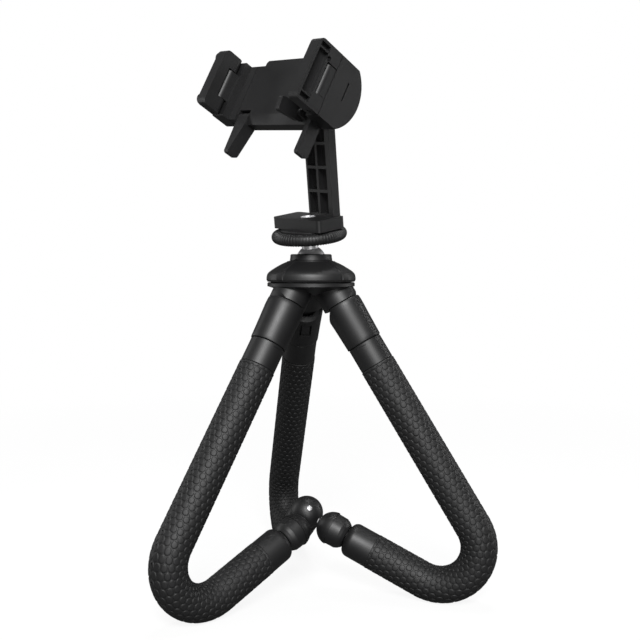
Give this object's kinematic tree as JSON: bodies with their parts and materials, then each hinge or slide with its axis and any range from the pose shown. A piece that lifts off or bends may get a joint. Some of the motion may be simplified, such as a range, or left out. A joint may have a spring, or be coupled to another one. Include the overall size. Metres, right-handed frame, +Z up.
{
  "type": "flexible phone tripod",
  "caption": "Small table tripod with bendable rubber-covered legs, a ball head with a locking knob, and a spring clamp that holds a phone.",
  "frame": {"origin": "on the floor, on the vertical axis of the hub", "axes": "+Z up; +X to the right and +Y away from the viewer of the picture; the clamp faces the viewer, to the left"},
  "size_m": [0.1741, 0.1696, 0.2933],
  "materials": {
    "black_plastic": "moulded, fine matt grain",
    "rubber": "soft matt rubber with a fine moulded cell pattern",
    "soft_rod": "plain drawn rod",
    "bright_metal": "polished plating",
    "steel": "plain turned steel",
    "nylon": "smooth nylon"
  },
  "bodies": {
    "hub": {"hub_body": "black_plastic", "cuff_right": "black_plastic", "collar_right": "black_plastic", "sleeve_top_right": "rubber", "cuff_rear": "black_plastic", "collar_rear": "black_plastic", "sleeve_top_rear": "rubber", "cuff_left": "black_plastic", "collar_left": "black_plastic", "sleeve_top_left": "rubber"},
    "knob": {"lock_knob": "black_plastic"},
    "cup": {"ball_cup": "nylon"},
    "stud": {"ball_stud": "bright_metal"},
    "wheel": {"lock_wheel": "black_plastic", "wheel_washer": "rubber"},
    "holder": {"bracket": "black_plastic", "block_insert": "bright_metal"},
    "clamp": {"clamp_plate": "black_plastic", "rear_cover": "black_plastic", "tilt_pin": "steel", "slide_springs": "steel", "right_jaw_pin": "steel", "finger_pins": "steel"},
    "slide_block": {"slider": "black_plastic", "left_jaw_pin": "steel"},
    "jaw_right": {"right_jaw": "black_plastic"},
    "jaw_left": {"left_jaw": "black_plastic"},
    "finger_on_right": {"right_finger": "black_plastic"},
    "finger_on_left": {"left_finger": "black_plastic"},
    "finger_stop": {"stop_finger": "black_plastic"},
    "leg_right": {"sleeve_upper_right": "rubber", "rod_upper_right": "soft_rod"},
    "leg_bend_right": {"sleeve_bend_right": "rubber", "rod_bend_right": "soft_rod"},
    "leg_end_right": {"sleeve_turn_right": "rubber", "rod_turn_right": "soft_rod", "sleeve_lower_right": "rubber", "rod_lower_right": "soft_rod", "end_cap_right": "black_plastic", "foot_right": "black_plastic"},
    "leg_rear": {"sleeve_upper_rear": "rubber", "rod_upper_rear": "soft_rod"},
    "leg_bend_rear": {"sleeve_bend_rear": "rubber", "rod_bend_rear": "soft_rod"},
    "leg_end_rear": {"sleeve_turn_rear": "rubber", "rod_turn_rear": "soft_rod", "sleeve_lower_rear": "rubber", "rod_lower_rear": "soft_rod", "end_cap_rear": "black_plastic", "foot_rear": "black_plastic"},
    "leg_left": {"sleeve_upper_left": "rubber", "rod_upper_left": "soft_rod"},
    "leg_bend_left": {"sleeve_bend_left": "rubber", "rod_bend_left": "soft_rod"},
    "leg_end_left": {"sleeve_turn_left": "rubber", "rod_turn_left": "soft_rod", "sleeve_lower_left": "rubber", "rod_lower_left": "soft_rod", "end_cap_left": "black_plastic", "foot_left": "black_plastic"}
  },
  "joints": [
    {"name": "knob_turn", "type": "hinge", "parent": "hub", "child": "knob", "pos_m": [0, 0, 0.17897], "axis": [0, 0, 1], "range_deg": [0, 90]},
    {"name": "ball_pan", "type": "hinge", "parent": "hub", "child": "cup", "pos_m": [0, 0, 0.17897], "axis": [0, 0, 1], "continuous": true},
    {"name": "ball_tilt", "type": "hinge", "parent": "cup", "child": "stud", "pos_m": [0, 0, 0.17897], "axis": [0.9489, -0.3156, 0], "range_deg": [-42.4, 17.6]},
    {"name": "wheel_turn", "type": "hinge", "parent": "stud", "child": "wheel", "pos_m": [-0.00074, -0.00222, 0.18961], "axis": [-0.0678, -0.2038, 0.9767], "continuous": true},
    {"name": "holder_turn", "type": "hinge", "parent": "stud", "child": "holder", "pos_m": [-0.00119, -0.00359, 0.19616], "axis": [-0.0678, -0.2038, 0.9767], "continuous": true},
    {"name": "clamp_tilt", "type": "hinge", "parent": "holder", "child": "clamp", "pos_m": [-0.00028, -0.01122, 0.25555], "axis": [-0.683, 0.7231, 0.1034], "range_deg": [-34, 50]},
    {"name": "jaw_spread", "type": "slide", "parent": "clamp", "child": "slide_block", "axis": [-0.683, 0.7231, 0.1034], "range_m": [0, 0.018], "stiffness_N_per_m": 150, "springref_m": -0.01, "deforming": ["slide_springs"]},
    {"name": "right_jaw_fold", "type": "hinge", "parent": "clamp", "child": "jaw_right", "pos_m": [0.0056, -0.04088, 0.2658], "axis": [-0.3759, -0.2265, -0.8985], "range_deg": [0, 90]},
    {"name": "left_jaw_fold", "type": "hinge", "parent": "slide_block", "child": "jaw_left", "pos_m": [-0.04802, 0.01588, 0.27392], "axis": [0.3759, 0.2265, 0.8985], "range_deg": [0, 90]},
    {"name": "right_finger_fold", "type": "hinge", "parent": "clamp", "child": "finger_on_right", "pos_m": [0.00265, -0.03059, 0.24886], "axis": [0.683, -0.7231, -0.1034], "range_deg": [0, 90]},
    {"name": "left_finger_fold", "type": "hinge", "parent": "clamp", "child": "finger_on_left", "pos_m": [-0.03423, 0.00845, 0.25444], "axis": [0.683, -0.7231, -0.1034], "range_deg": [0, 90]},
    {"name": "stop_finger_fold", "type": "hinge", "parent": "clamp", "child": "finger_stop", "pos_m": [-0.00662, -0.0292, 0.25238], "axis": [0.683, -0.7231, -0.1034], "range_deg": [-8, 82]},
    {"name": "leg_swing_right", "type": "hinge", "parent": "hub", "child": "leg_right", "pos_m": [0.04271, -0.01404, 0.11106], "axis": [-0.3123, -0.95, 0], "range_deg": [0, 50], "deforming": ["sleeve_top_right", "rod_upper_right"]},
    {"name": "leg_unbend_right", "type": "hinge", "parent": "leg_right", "child": "leg_bend_right", "pos_m": [0.0869, -0.02857, 0.02869], "axis": [-0.3123, -0.95, 0], "range_deg": [0, 73.2], "deforming": ["sleeve_bend_right", "rod_bend_right"]},
    {"name": "leg_unbend_end_right", "type": "hinge", "parent": "leg_bend_right", "child": "leg_end_right", "pos_m": [0.07101, -0.02335, 0.00958], "axis": [-0.3123, -0.95, 0], "range_deg": [0, 73.2], "deforming": ["sleeve_turn_right", "rod_turn_right"]},
    {"name": "leg_swing_rear", "type": "hinge", "parent": "hub", "child": "leg_rear", "pos_m": [-0.0092, 0.04401, 0.11106], "axis": [0.9789, 0.2045, 0], "range_deg": [0, 50], "deforming": ["sleeve_top_rear", "rod_upper_rear"]},
    {"name": "leg_unbend_rear", "type": "hinge", "parent": "leg_rear", "child": "leg_bend_rear", "pos_m": [-0.0187, 0.08951, 0.02827], "axis": [0.9789, 0.2045, 0], "range_deg": [0, 75.5], "deforming": ["sleeve_bend_rear", "rod_bend_rear"]},
    {"name": "leg_unbend_end_rear", "type": "hinge", "parent": "leg_bend_rear", "child": "leg_end_rear", "pos_m": [-0.01503, 0.07193, 0.00935], "axis": [0.9789, 0.2045, 0], "range_deg": [0, 75.5], "deforming": ["sleeve_turn_rear", "rod_turn_rear"]},
    {"name": "leg_swing_left", "type": "hinge", "parent": "hub", "child": "leg_left", "pos_m": [-0.03352, -0.02997, 0.11106], "axis": [-0.6665, 0.7455, 0], "range_deg": [0, 50], "deforming": ["sleeve_top_left", "rod_upper_left"]},
    {"name": "leg_unbend_left", "type": "hinge", "parent": "leg_left", "child": "leg_bend_left", "pos_m": [-0.0682, -0.06097, 0.02869], "axis": [-0.6665, 0.7455, 0], "range_deg": [0, 73.2], "deforming": ["sleeve_bend_left", "rod_bend_left"]},
    {"name": "leg_unbend_end_left", "type": "hinge", "parent": "leg_bend_left", "child": "leg_end_left", "pos_m": [-0.05572, -0.04982, 0.00958], "axis": [-0.6665, 0.7455, 0], "range_deg": [0, 73.2], "deforming": ["sleeve_turn_left", "rod_turn_left"]}
  ],
  "couplings": [
    {"joint": "leg_unbend_end_right", "follows": "leg_unbend_right", "ratio": 1},
    {"joint": "leg_unbend_end_rear", "follows": "leg_unbend_rear", "ratio": 1},
    {"joint": "leg_unbend_end_left", "follows": "leg_unbend_left", "ratio": 1}
  ]
}
